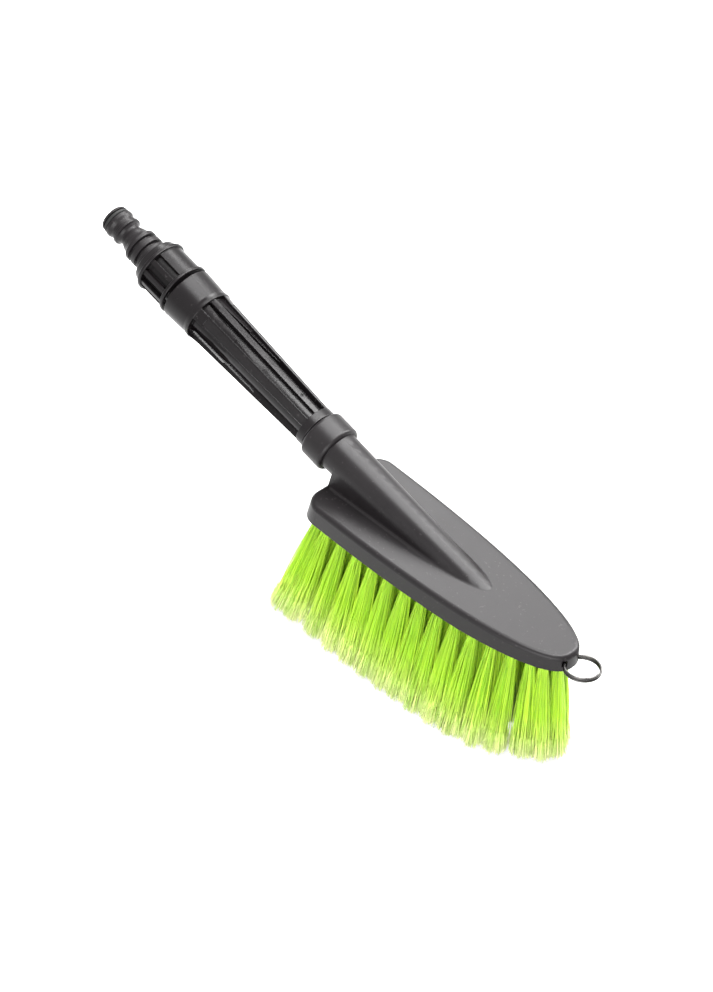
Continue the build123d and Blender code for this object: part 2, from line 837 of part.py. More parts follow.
def handle_grip():
    """Ribbed handle: band, strips and ribs about a core tube, lower ring and spigot."""
    rim_start = rib_start - band_rim_length
    body = turned(
        [
            (0, handle_start),
            (band_top_radius, handle_start),
            (band_waist_radius, rim_start - band_rim_length),
            (band_rim_radius, rim_start),
            (band_rim_radius, rib_start),
            (band_waist_radius, rib_start),
            (rib_top_radius, rib_start + tongue_length),
            (rib_end_radius, rib_end),
            (lower_ring_radius, rib_end),
            (lower_ring_radius, handle_end),
            (handle_spigot_radius, handle_end),
            (handle_spigot_radius, spigot_end),
            (0, spigot_end),
        ],
        [0, collar_lip, 0, band_rim_lip, band_rim_lip, 0, 0, 0, 0, collar_lip, 0, collar_lip, 0],
    )
    far = band_top_radius + overrun
    slope = (rib_end_radius - pocket_end_depth - rib_top_radius + pocket_top_depth) / rib_length
    deep_top = rib_top_radius - pocket_top_depth
    deep_end = rib_end_radius - pocket_end_depth
    step_start = rib_start + pad_length
    step_end = step_start + step_run
    pad = rib_top_radius - pad_depth
    pad_step = pad + slope * pad_length
    low_step = rib_top_radius - pad_tip_depth + slope * (pad_length + step_run)
    low_end = rib_top_radius - pad_tip_depth + slope * rib_length
    deep = [(deep_top, rib_start), (far, rib_start), (far, rib_end), (deep_end, rib_end)]
    padded = [
        (pad, rib_start),
        (far, rib_start),
        (far, rib_end),
        (low_end, rib_end),
        (low_step, step_end),
        (pad_step, step_start),
    ]
    panel = [
        (rib_top_radius - strip_recess, rib_start + tongue_length),
        (far, rib_start + tongue_length),
        (far, rib_end),
        (rib_end_radius - strip_recess, rib_end),
    ]
    rib_crest = [
        (rib_top_radius, rib_start),
        (far, rib_start),
        (far, rib_start + tongue_length),
        (rib_top_radius, rib_start + tongue_length),
    ]
    for start, end in mirrored_spans([(top_rib_half_angle, pad_edge_angle)]):
        body -= turned_sector(deep, start, end)
    for start, end in ((side_pad_end_angle, 180 - side_pad_end_angle),):
        body -= turned_sector(deep, start, end)
        body -= turned_sector(deep, -end, -start)
    for open_angle, strip_angle in (
        (pad_edge_angle, strip_start_angle),
        (side_pad_end_angle, strip_end_angle),
    ):
        start, end = sorted((open_angle, strip_angle))
        wedge = pad_wedge(open_angle, strip_angle)
        groove = (turned_sector(deep, start, end) - wedge) + turned_sector(padded, start, end)
        groove = Compound([groove, mirror(groove, about=Plane.XZ)])
        body -= groove
        body -= mirror(groove, about=Plane.YZ)
    for start, end in mirrored_spans(
        [(strip_start_angle + strip_rim_angle, strip_end_angle - strip_rim_angle)]
    ):
        body -= turned_sector(panel, start, end)
    for middle in (0, 180):
        body -= turned_sector(rib_crest, middle - top_rib_half_angle, middle + top_rib_half_angle)
    gate = Pos(X=rib_end_radius + gate_depth, Z=rib_end - gate_inset) * Rot(Y=90) * Cylinder(
        gate_radius, 2 * gate_depth
    )
    body -= gate
    stem_socket_end = handle_start + stem_spigot_length + socket_gap
    body -= rod(stem_radius + seat_clearance, handle_start - overrun, stem_socket_end)
    body -= rod(handle_bore_radius, handle_start, spigot_end + overrun)
    floor_radius = handle_spigot_radius - 2 * o_ring_wire_radius - ring_seal_clearance
    body -= seal_groove(spigot_end - neck_seal_inset, floor_radius)
    stop = [
        (stop_inner_radius, handle_start + stop_height),
        (stop_inner_radius, handle_start - collar_handle_gap - stop_height),
        (stop_outer_radius, handle_start - collar_handle_gap - stop_height),
        (stop_outer_radius, handle_start + stop_height),
    ]
    centre = 180 + valve_clocking
    body += turned_sector(stop, centre - stop_angle / 2, centre + stop_angle / 2)
    return on_stem(body)


zones, outlets = tuft_places()
zone_names = ["rear", "mid_rear", "middle", "mid_front", "tip"]
pieces = {
    "head_cover": head_cover(),
    "tuft_plate": tuft_plate(zones, outlets),
    "tuft_anchors": tuft_anchors(zones),
    "hang_ring": hang_ring(),
    "hose_connector": hose_connector(),
    "connector_oring": connector_oring(),
    "connector_washer": connector_washer(),
    "valve_body": valve_body(),
    "valve_orings": valve_orings(),
    "valve_collar": valve_collar(),
    "stem_oring": stem_oring(),
    "handle_grip": handle_grip(),
    "neck_oring": neck_oring(),
}
strand_total = 0
for index, name in enumerate(zone_names):
    pieces["bristles_" + name], strands = bristle_zone(index, zones, outlets)
    strand_total += strands
print("strands", strand_total, "tufts", sum(len(zone) for zone in zones))

# The finished part stands on its bristle tips, with its origin under the middle of its box
boxes = [piece.bounding_box() for piece in pieces.values()]
middle_x = (min(box.min.X for box in boxes) + max(box.max.X for box in boxes)) / 2
base = Pos(-middle_x, 0, -floor_level)
os.makedirs("parts", exist_ok=True)
for name, piece in pieces.items():
    export_step(base * piece, "parts/" + name + ".step")
print("ring gap", round(ring_gap(), 3), "middle", middle_x, "floor", floor_level)
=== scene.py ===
import json
import math
import bmesh
import bpy
from mathutils import Matrix, Vector


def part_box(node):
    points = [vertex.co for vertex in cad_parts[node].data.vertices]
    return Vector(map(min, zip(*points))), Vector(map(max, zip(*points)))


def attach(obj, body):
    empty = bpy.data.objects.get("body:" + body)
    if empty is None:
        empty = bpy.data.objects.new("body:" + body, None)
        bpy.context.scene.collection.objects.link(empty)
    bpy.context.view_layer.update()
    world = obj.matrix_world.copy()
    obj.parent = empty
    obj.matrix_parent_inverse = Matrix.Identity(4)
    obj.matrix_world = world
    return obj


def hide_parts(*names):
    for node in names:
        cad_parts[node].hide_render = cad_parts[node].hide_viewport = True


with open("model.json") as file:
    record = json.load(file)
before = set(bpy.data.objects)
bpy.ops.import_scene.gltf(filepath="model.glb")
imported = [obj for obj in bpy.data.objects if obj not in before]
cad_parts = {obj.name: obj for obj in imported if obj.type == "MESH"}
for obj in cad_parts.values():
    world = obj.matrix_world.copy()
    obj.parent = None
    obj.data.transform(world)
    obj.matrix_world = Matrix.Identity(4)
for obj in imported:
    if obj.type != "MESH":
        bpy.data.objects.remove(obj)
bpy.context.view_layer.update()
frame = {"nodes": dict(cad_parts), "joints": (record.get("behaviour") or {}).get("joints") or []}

# Lengths are in metres, angles in degrees, and colours are linear
mm = 0.001
full_turn = 2 * math.pi
white = (1, 1, 1)

# View of the reference picture
picture_width = 713
focal_pixels = 3569.0
sensor_width = 36.0
view_azimuth = 45.09
view_elevation = 44.01
view_roll = 2.84
view_distance = 1.7152
view_centre_from_nose = 142.41 * mm
view_centre_y = -4.5 * mm

# Softboxes, of which the key lamp is what the deck mirrors into the camera
key_azimuth = 180 + view_azimuth
key_elevation = view_elevation
key_distance = 1.25
key_size = 0.5
key_strength = 13.5
top_azimuth = 180.0
top_elevation = 78.0
top_distance = 1.25
top_width = 0.26
top_length = 1.2
top_strength = 38.0
back_azimuth = 172.0
back_elevation = 40.0
back_distance = 1.3
back_width = 0.55
back_length = 0.9
back_strength = 30.0
fill_azimuth = 28.0
fill_elevation = 10.0
fill_distance = 1.3
fill_size = 1.2
fill_strength = 33.0

# White surroundings and floor
ambient_strength = 0.5
background_strength = 1.0
floor_radius = 4.0
floor_sides = 64
floor_albedo = 0.35
floor_glow = 0.72

# Block, as in the brush's own solids
block_length = 157.0 * mm
block_height = 11.7 * mm

# Fibres of a tuft
tuft_root_radius = 2.15 * mm
tuft_tip_radius = 5.6 * mm
tuft_row_stretch = 1.2
fibres_in_tuft = 230
fibre_radius = 0.15 * mm
fibre_steps = 5
fibre_sides = 3
fibre_bow = 1.1 * mm
fibre_unevenness = 2.6 * mm
short_fibre_power = 2.0
outer_lift_share = 0.45

# Hairs that each fibre's tip splits into
flag_hairs = 3
flag_start_share = 0.80
flag_spread = 1.2 * mm
flag_radius = 0.11 * mm
flag_steps = 1
flag_lift_share = 0.8

# Salts that keep a fibre's random draws apart
salts = {
    "angle": 11,
    "reach": 12,
    "scatter": 13,
    "scatter angle": 14,
    "shortness": 15,
    "sway along": 16,
    "sway across": 17,
    "shade": 18,
    "split": 21,
    "split angle": 22,
    "hair lift": 23,
}

# Fan of the tufts, by how far a tip leans from its root, with less lean sideways towards the nose
fan_centre_share = 0.45
rear_lean = 15.0 * mm
rear_lean_power = 3
nose_lean = 2.4 * mm
nose_lean_power = 2
side_lean = 13.0 * mm
side_taper_start = 100.0 * mm
side_taper_share = 2.1
side_taper_power = 2.55
same_place_gap = 1 * mm

# Depths under the block's rim that tell a zone's slice of the plate from its strands, and the most
# sides of the hole that a strand leaves in the slice
slice_search_depth = 10 * mm
strand_start_depth = 5 * mm
strand_hole_sides = 4

# Gaps within which loose triangles are merged, and the decimals by which roots are put in order
anchor_merge_gap = 0.01 * mm
slice_merge_gap = 0.001 * mm
root_order_decimals = 4

# Handle strips, as angles from the top about the stem and distances along it from the shut-off's pivot
strip_angles = (36.0, 57.0)
strip_stations = (48.1 * mm, 120.7 * mm)
ribbed_stations = (42.1 * mm, 120.7 * mm)
strip_radius = 12.0 * mm
strip_dot_pitch = 1.15 * mm
strip_dot_depth = 0.10 * mm
strip_dot_strength = 0.45
strip_dullness = 0.14
band_dullness = 0.10

# Grain and dust that the mouldings share
noise_middle = 0.5
grain_detail = 3.0
grain_strength = 0.6
cloud_scale = 60.0
cloud_detail = 4.0
speck_scale = 620.0
speck_detail = 1.0
speck_threshold = 0.72
dust_colour = (0.02, 0.018, 0.0185)
roughness_variation = 0.08
plastic_specular = 0.20
edge_radius = 0.35 * mm
edge_samples = 6

# Finishes of the mouldings and the seals
black_finish = {
    "dark": (0.006, 0.005, 0.0055),
    "light": (0.011, 0.0095, 0.0102),
    "roughness": 0.38,
    "grain_scale": 3200,
    "grain_depth": 0.03 * mm,
}
handle_finish = {
    "dark": (0.003, 0.0025, 0.0027),
    "light": (0.007, 0.0058, 0.0064),
    "roughness": 0.20,
    "grain_scale": 3600,
    "grain_depth": 0.02 * mm,
}
rubber_finish = {
    "dark": (0.012, 0.012, 0.012),
    "light": (0.018, 0.018, 0.018),
    "roughness": 0.6,
    "grain_scale": 2000,
    "grain_depth": 0.02 * mm,
}

# Finishes of the wires
ring_colour = (0.075, 0.072, 0.070)
anchor_colour = (0.62, 0.62, 0.64)
wire_roughness = 0.30
wire_grain_scale = 2500
wire_shadow_share = 0.6

# Lime filament, with its colour at the root and those further along, at shares of the way to the tip. The
# lighter colours further along are partly the flagged tips' own paleness and partly painted light, which
# makes up for the dimmer light on the low parts and tips.
root_colour = (0.50, 0.78, 0.045)
further_colours_with_painted_light = [
    (0.55, (0.66, 0.97, 0.06)),
    (0.76, (0.80, 1.0, 0.17)),
    (1.0, (1.0, 1.0, 0.55)),
]
deep_shade = (0.46, 0.64, 0.30)
filament_roughness = 0.38
filament_specular = 0.45

# Places read from the frame
node = frame["nodes"]
head_low, head_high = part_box("head_cover")
rim_level = head_low.z
nose_edge = head_high.x
rear_edge = nose_edge - block_length
fan_centre = rear_edge + block_length * fan_centre_share
turning = [joint for joint in frame["joints"] if joint["name"] == "shut_off_turn"][0]
stem_start = Vector(turning["pos_m"])
stem_axis = Vector(turning["axis"]).normalized()
stem_side = Vector((0, 1, 0))
stem_up = stem_axis.cross(stem_side)


# Camera, lamps and surroundings
def add_object(name, data):
    """New object at the origin with the given data."""
    thing = bpy.data.objects.new(name, data)
    bpy.context.scene.collection.objects.link(thing)
    return thing


def view_axes(azimuth, elevation, roll):
    """Right, up and back of a camera that looks from an azimuth and elevation."""
    azimuth, elevation, roll = (math.radians(angle) for angle in (azimuth, elevation, roll))
    flat = math.cos(elevation)
    back = Vector((math.sin(azimuth) * flat, -math.cos(azimuth) * flat, math.sin(elevation)))
    level = Vector((math.cos(azimuth), math.sin(azimuth), 0))
    rise = back.cross(level)
    right = math.cos(roll) * level + math.sin(roll) * rise
    up = -math.sin(roll) * level + math.cos(roll) * rise
    return right, up, back


def place(thing, right, up, back, position):
    """Set an object's place from its own three axes."""
    turn = Matrix((right, up, back)).transposed().to_4x4()
    thing.matrix_world = Matrix.Translation(position) @ turn


def add_camera():
    """Camera in the place of the one that took the reference picture."""
    right, up, back = view_axes(view_azimuth, view_elevation, view_roll)
    centre = Vector((nose_edge - view_centre_from_nose, view_centre_y, rim_level + block_height))
    lens = bpy.data.cameras.new("camera")
    lens.sensor_fit = "HORIZONTAL"
    lens.sensor_width = sensor_width
    lens.lens = focal_pixels / picture_width * sensor_width
    camera = add_object("camera", lens)
    place(camera, right, up, back, centre + back * view_distance)
    bpy.context.scene.camera = camera


def add_softbox(name, azimuth, elevation, distance, width, length, strength):
    """Rectangular lamp that faces the middle of the floor."""
    right, up, back = view_axes(azimuth, elevation, 0)
    lamp = bpy.data.lights.new(name, "AREA")
    lamp.shape = "RECTANGLE"
    lamp.size = width
    lamp.size_y = length
    lamp.energy = strength
    place(add_object(name, lamp), right, up, back, back * distance)


def add_world():
    """White background for what is seen directly, and a dimmer one that lights the rest."""
    world = bpy.data.worlds.new("studio")
    world.use_nodes = True
    tree = world.node_tree
    tree.nodes.clear()
    mix = tree.nodes.new("ShaderNodeMixShader")
    tree.links.new(seen_directly(tree), mix.inputs[0])
    for slot, strength in enumerate((ambient_strength, background_strength), 1):
        background = tree.nodes.new("ShaderNodeBackground")
        put(tree, background.inputs["Color"], white)
        put(tree, background.inputs["Strength"], strength)
        tree.links.new(background.outputs[0], mix.inputs[slot])
    out = tree.nodes.new("ShaderNodeOutputWorld")
    tree.links.new(mix.outputs[0], out.inputs[0])
    bpy.context.scene.world = world


def add_floor():
    """Pale floor that glows to the background's white and keeps the shadow."""
    mesh = bpy.data.meshes.new("floor")
    shape = bmesh.new()
    bmesh.ops.create_circle(shape, cap_ends=True, radius=floor_radius, segments=floor_sides)
    shape.to_mesh(mesh)
    shape.free()
    floor = add_object("floor", mesh)
    material = bpy.data.materials.new("floor_white")
    material.use_nodes = True
    tree = material.node_tree
    tree.nodes.clear()
    paint = tree.nodes.new("ShaderNodeBsdfDiffuse")
    put(tree, paint.inputs["Color"], (floor_albedo, floor_albedo, floor_albedo))
    glow = tree.nodes.new("ShaderNodeEmission")
    put(tree, glow.inputs["Color"], white)
    put(tree, glow.inputs["Strength"], maths(tree, "MULTIPLY", seen_directly(tree), floor_glow))
    both = tree.nodes.new("ShaderNodeAddShader")
    tree.links.new(paint.outputs[0], both.inputs[0])
    tree.links.new(glow.outputs[0], both.inputs[1])
    out = tree.nodes.new("ShaderNodeOutputMaterial")
    tree.links.new(both.outputs[0], out.inputs[0])
    mesh.materials.append(material)


# Steps that node trees share
def put(tree, target, value):
    """Give a socket a value or a colour, or link another socket to it."""
    if isinstance(value, bpy.types.NodeSocket):
        tree.links.new(value, target)
    elif target.type == "RGBA":
        target.default_value = (*value, 1)
    else:
        target.default_value = value


def maths(tree, operation, *values):
    """Math node's result on numbers or sockets."""
    step = tree.nodes.new("ShaderNodeMath")
    step.operation = operation
    for target, value in zip(step.inputs, values):
        put(tree, target, value)
    return step.outputs[0]


def vector_maths(tree, operation, *values, scale=None):
    """Vector Math node's result on vectors or sockets."""
    step = tree.nodes.new("ShaderNodeVectorMath")
    step.operation = operation
    for target, value in zip(step.inputs, values):
        put(tree, target, value)
    if scale is not None:
        put(tree, step.inputs["Scale"], scale)
    return step.outputs["Value" if operation == "DOT_PRODUCT" else "Vector"]


def seen_directly(tree):
    """Share that is 1 for camera, glossy and transmission rays and 0 for the rest."""
    path = tree.nodes.new("ShaderNodeLightPath").outputs
    seen = maths(tree, "MAXIMUM", path["Is Camera Ray"], path["Is Glossy Ray"])
    return maths(tree, "MAXIMUM", seen, path["Is Transmission Ray"])


def object_place(tree):
    """Object coordinates."""
    return tree.nodes.new("ShaderNodeTexCoord").outputs["Object"]


def noise(tree, coordinates, scale, detail):
    """Noise texture's value on the given coordinates."""
    texture = tree.nodes.new("ShaderNodeTexNoise")
    put(tree, texture.inputs["Detail"], detail)
    put(tree, texture.inputs["Scale"], scale)
    put(tree, texture.inputs["Vector"], coordinates)
    return texture.outputs[0]


def two_colours(tree, share, low, high, blend="MIX"):
    """Colour between two by a share, or one blended with the other."""
    mix = tree.nodes.new("ShaderNodeMix")
    mix.data_type = "RGBA"
    mix.blend_type = blend
    put(tree, mix.inputs["Factor"], share)
    put(tree, mix.inputs["A"], low)
    put(tree, mix.inputs["B"], high)
    return mix.outputs["Result"]


def bump(tree, height, distance, strength, under):
    """Normal that a height bends away from the one under it."""
    step = tree.nodes.new("ShaderNodeBump")
    put(tree, step.inputs["Distance"], distance)
    put(tree, step.inputs["Strength"], strength)
    put(tree, step.inputs["Height"], height)
    put(tree, step.inputs["Normal"], under)
    return step.outputs["Normal"]


def rounded_edges(tree):
    """Normal that rounds a moulding's sharp edges over a small radius."""
    step = tree.nodes.new("ShaderNodeBevel")
    step.samples = edge_samples
    put(tree, step.inputs["Radius"], edge_radius)
    return step.outputs["Normal"]


# Shader groups
def new_group(name, inputs, outputs):
    """Empty shader node group with named numbers in and out."""
    group = bpy.data.node_groups.new(name, "ShaderNodeTree")
    for label, value in inputs.items():
        socket = group.interface.new_socket(label, in_out="INPUT", socket_type="NodeSocketFloat")
        socket.default_value = value
    for label in outputs:
        group.interface.new_socket(label, in_out="OUTPUT", socket_type="NodeSocketFloat")
    given = group.nodes.new("NodeGroupInput").outputs
    result = group.nodes.new("NodeGroupOutput").inputs
    return group, given, result


def add_group(tree, group, **values):
    """Outputs of a shader group that is placed in a material with its own values."""
    step = tree.nodes.new("ShaderNodeGroup")
    step.node_tree = group
    for label, value in values.items():
        put(tree, step.inputs[label.replace("_", " ").title()], value)
    return step.outputs


def make_moulded_grain():
    """Fine spark-eroded grain of moulded plastic, with a faint cloudiness and specks of dust."""
    settings = {
        "Grain Scale": black_finish["grain_scale"],
        "Cloud Scale": cloud_scale,
        "Speck Scale": speck_scale,
        "Speck Threshold": speck_threshold,
        "Roughness": black_finish["roughness"],
        "Variation": roughness_variation,
    }
    group, given, result = new_group("moulded_grain", settings, ["Height", "Roughness", "Mask", "Specks"])
    spot = object_place(group)
    grain = noise(group, spot, given["Grain Scale"], grain_detail)
    cloud = noise(group, spot, given["Cloud Scale"], cloud_detail)
    specks = noise(group, spot, given["Speck Scale"], speck_detail)
    centred = maths(group, "SUBTRACT", cloud, noise_middle)
    swing = maths(group, "MULTIPLY", centred, given["Variation"])
    put(group, result["Height"], grain)
    put(group, result["Roughness"], maths(group, "ADD", given["Roughness"], swing))
    put(group, result["Mask"], cloud)
    put(group, result["Specks"], maths(group, "GREATER_THAN", specks, given["Speck Threshold"]))
    return group


def make_strip_texture():
    """Fine dots of the handle's grip strips, with masks of the strips and of the plain bands."""
    settings = {"Pitch": strip_dot_pitch}
    group, given, result = new_group("strip_texture", settings, ["Height", "Mask", "Band"])
    away = vector_maths(group, "SUBTRACT", object_place(group), stem_start)
    turns = maths(group, "DIVIDE", full_turn, given["Pitch"])

    def number(operation, *values):
        return maths(group, operation, *values)

    def along(direction):
        return vector_maths(group, "DOT_PRODUCT", away, direction)

    def inside(value, low, high):
        return number("MULTIPLY", number("GREATER_THAN", value, low), number("LESS_THAN", value, high))

    def wave(value):
        return number("SINE", number("MULTIPLY", value, turns))

    station = along(stem_axis)
    angle = number("ARCTAN2", number("ABSOLUTE", along(stem_side)), number("ABSOLUTE", along(stem_up)))
    limits = [math.radians(limit) for limit in strip_angles]
    mask = number("MULTIPLY", inside(angle, *limits), inside(station, *strip_stations))
    dots = number("MULTIPLY", wave(station), wave(number("MULTIPLY", angle, strip_radius)))
    put(group, result["Height"], number("MULTIPLY", dots, mask))
    put(group, result["Mask"], mask)
    put(group, result["Band"], number("SUBTRACT", 1.0, inside(station, *ribbed_stations)))
    return group


# Materials
def new_material(name):
    """Material with its tree and the inputs of its Principled shader."""
    material = bpy.data.materials.new(name)
    material.use_nodes = True
    tree = material.node_tree
    return material, tree, tree.nodes["Principled BSDF"].inputs


def moulded_plastic(name, dark, light, roughness, grain_scale, grain_depth, strips=None):
    """Moulded plastic with grain, rounded edges and dust, and with dotted strips on the handle."""
    material, tree, surface = new_material(name)
    grain = add_group(tree, moulded_grain, grain_scale=grain_scale, roughness=roughness)
    clean = two_colours(tree, grain["Mask"], dark, light)
    dullness = grain["Roughness"]
    shape = rounded_edges(tree)
    if strips is not None:
        dots = add_group(tree, strips)
        shape = bump(tree, dots["Height"], strip_dot_depth, strip_dot_strength, shape)
        dull_strips = maths(tree, "MULTIPLY", dots["Mask"], strip_dullness)
        dull_bands = maths(tree, "MULTIPLY", dots["Band"], band_dullness)
        dullness = maths(tree, "ADD", dullness, maths(tree, "ADD", dull_strips, dull_bands))
    put(tree, surface["Base Color"], two_colours(tree, grain["Specks"], clean, dust_colour))
    put(tree, surface["Roughness"], dullness)
    put(tree, surface["Normal"], bump(tree, grain["Height"], grain_depth, grain_strength, shape))
    put(tree, surface["Specular IOR Level"], plastic_specular)
    return material


def wire_metal(name, colour):
    """Drawn wire with a cloudy sheen."""
    material, tree, surface = new_material(name)
    grain = add_group(tree, moulded_grain, grain_scale=wire_grain_scale, roughness=wire_roughness)
    darker = tuple(channel * wire_shadow_share for channel in colour)
    put(tree, surface["Base Color"], two_colours(tree, grain["Mask"], darker, colour))
    put(tree, surface["Roughness"], grain["Roughness"])
    put(tree, surface["Metallic"], 1.0)
    return material


def read_share(tree, name):
    """Number that the bristles' nodes stored on the surface."""
    step = tree.nodes.new("ShaderNodeAttribute")
    step.attribute_name = name
    return step.outputs["Fac"]


def lime_filament():
    """Lime plastic filament, deeper at the roots and lighter towards the split tips. The lighter tips are
    partly their own paleness and partly painted light for the dimmer light low down.
    """
    material, tree, surface = new_material("lime_filament")
    ramp = tree.nodes.new("ShaderNodeValToRGB")
    put(tree, ramp.inputs["Fac"], read_share(tree, "along"))
    stops = ramp.color_ramp.elements
    stops.remove(stops[1])
    stops[0].color = (*root_colour, 1)
    # Stops further along are lighter, partly as painted light for the low parts and tips
    for share, colour in further_colours_with_painted_light:
        stops.new(share).color = (*colour, 1)
    variety = two_colours(tree, read_share(tree, "shade"), deep_shade, white)
    tinted = two_colours(tree, 1.0, ramp.outputs["Color"], variety, "MULTIPLY")
    put(tree, surface["Base Color"], tinted)
    put(tree, surface["Roughness"], filament_roughness)
    put(tree, surface["Specular IOR Level"], filament_specular)
    return material


# Places of the tufts
def tuft_roots():
    """Place of each tuft, from the middle of its wire anchor."""
    shape = bmesh.new()
    shape.from_mesh(node["tuft_anchors"].data)
    bmesh.ops.remove_doubles(shape, verts=shape.verts, dist=anchor_merge_gap)
    shape.verts.ensure_lookup_table()
    seen = set()
    places = []
    for start in shape.verts:
        if start.index in seen:
            continue
        anchor = []
        queue = [start]
        seen.add(start.index)
        while queue:
            vert = queue.pop()
            anchor.append(vert.co.copy())
            for edge in vert.link_edges:
                other = edge.other_vert(vert)
                if other.index not in seen:
                    seen.add(other.index)
                    queue.append(other)
        places.append(sum(anchor, Vector()) / len(anchor))
    shape.free()
    return sorted(places, key=lambda spot: (round(spot.x, root_order_decimals), spot.y))


def slice_reach(name):
    """First and last X of a bristle node's slice of the plate."""
    level = rim_level - slice_search_depth
    places = [vert.co.x for vert in node[name].data.vertices if vert.co.z > level]
    return min(places), max(places)


def tuft_tip(root, roots):
    """Where a tuft's middle ends on the floor."""
    if root.x < fan_centre:
        share = (fan_centre - root.x) / (fan_centre - rear_edge)
        lean = -rear_lean * share ** rear_lean_power
    else:
        share = (root.x - fan_centre) / (nose_edge - fan_centre)
        lean = nose_lean * share ** nose_lean_power
    outer = max(abs(other.y) for other in roots if abs(other.x - root.x) < same_place_gap)
    taper = max(0, root.x - rear_edge - side_taper_start) / (block_length - side_taper_start)
    side = side_lean * max(0, 1 - side_taper_share * taper ** side_taper_power)
    spread = side / outer if outer > same_place_gap else 0
    return Vector((root.x + lean, root.y * (1 + spread), 0))


# Geometry nodes of the bristles
def combine(tree, x, y, z):
    """Vector of three numbers or sockets."""
    step = tree.nodes.new("ShaderNodeCombineXYZ")
    for target, value in zip(step.inputs, (x, y, z)):
        put(tree, target, value)
    return step.outputs[0]


def chance(tree, given, draw, low=0.0, high=1.0):
    """Random number for each point, which the seed and the draw's salt decide."""
    step = tree.nodes.new("FunctionNodeRandomValue")
    step.data_type = "FLOAT"
    limits = [socket for socket in step.inputs if socket.type == "VALUE"]
    put(tree, limits[0], low)
    put(tree, limits[1], high)
    put(tree, step.inputs["ID"], tree.nodes.new("GeometryNodeInputIndex").outputs[0])
    put(tree, step.inputs["Seed"], maths(tree, "ADD", given["Seed"], salts[draw]))
    return [socket for socket in step.outputs if socket.type == "VALUE"][0]


def recall(tree, name):
    """Vector that was stored on the points under a name."""
    step = tree.nodes.new("GeometryNodeInputNamedAttribute")
    step.data_type = "FLOAT_VECTOR"
    put(tree, step.inputs["Name"], name)
    return step.outputs["Attribute"]


def store(tree, points, name, kind, value):
    """Points that carry a value under a name."""
    step = tree.nodes.new("GeometryNodeStoreNamedAttribute")
    step.data_type = kind
    step.domain = "POINT"
    put(tree, step.inputs["Geometry"], points)
    put(tree, step.inputs["Name"], name)
    put(tree, step.inputs["Value"], value)
    return step.outputs["Geometry"]


def copies(tree, points, amount):
    """Each point, repeated in its place."""
    step = tree.nodes.new("GeometryNodeDuplicateElements")
    step.domain = "POINT"
    put(tree, step.inputs["Geometry"], points)
    put(tree, step.inputs["Amount"], amount)
    return step.outputs["Geometry"]


def disc(tree, radius, share, angle):
    """Vector of a share of the radius, turned level by the angle."""
    reach = maths(tree, "MULTIPLY", radius, share)
    across = maths(tree, "MULTIPLY", reach, maths(tree, "COSINE", angle))
    along = maths(tree, "MULTIPLY", reach, maths(tree, "SINE", angle))
    return combine(tree, across, along, 0.0)


def between(tree, start, end, share):
    """Place at a share of the way from one to another."""
    way = vector_maths(tree, "SUBTRACT", end, start)
    return vector_maths(tree, "ADD", start, vector_maths(tree, "SCALE", way, scale=share))


def realize(tree, instances):
    """Instances as real geometry."""
    step = tree.nodes.new("GeometryNodeRealizeInstances")
    put(tree, step.inputs["Geometry"], instances)
    return step.outputs["Geometry"]


def grow(tree, points, steps, radius, bow, first_share):
    """Tubes from each point's fibre_root to its fibre_tip, bowed along its sway."""
    evenly = tree.nodes.new("GeometryNodeResampleCurve")
    line = tree.nodes.new("GeometryNodeCurvePrimitiveLine")
    put(tree, evenly.inputs["Curve"], line.outputs["Curve"])
    put(tree, evenly.inputs["Count"], steps + 1)
    spread = tree.nodes.new("GeometryNodeInstanceOnPoints")
    put(tree, spread.inputs["Points"], points)
    put(tree, spread.inputs["Instance"], evenly.outputs["Curve"])
    share = tree.nodes.new("GeometryNodeSplineParameter").outputs["Factor"]
    straight = between(tree, recall(tree, "fibre_root"), recall(tree, "fibre_tip"), share)
    arch = maths(tree, "SINE", maths(tree, "MULTIPLY", share, math.pi))
    bend = vector_maths(tree, "SCALE", recall(tree, "sway"), scale=maths(tree, "MULTIPLY", arch, bow))
    move = tree.nodes.new("GeometryNodeSetPosition")
    put(tree, move.inputs["Geometry"], realize(tree, spread.outputs["Instances"]))
    put(tree, move.inputs["Position"], vector_maths(tree, "ADD", straight, bend))
    along = maths(tree, "ADD", first_share, maths(tree, "MULTIPLY", share, 1.0 - first_share))
    marked = store(tree, move.outputs["Geometry"], "along", "FLOAT", along)
    ring = tree.nodes.new("GeometryNodeCurvePrimitiveCircle")
    ring.mode = "RADIUS"
    put(tree, ring.inputs["Resolution"], fibre_sides)
    put(tree, ring.inputs["Radius"], radius)
    tube = tree.nodes.new("GeometryNodeCurveToMesh")
    put(tree, tube.inputs["Curve"], marked)
    put(tree, tube.inputs["Profile Curve"], ring.outputs["Curve"])
    put(tree, tube.inputs["Fill Caps"], True)
    return tube.outputs["Mesh"]


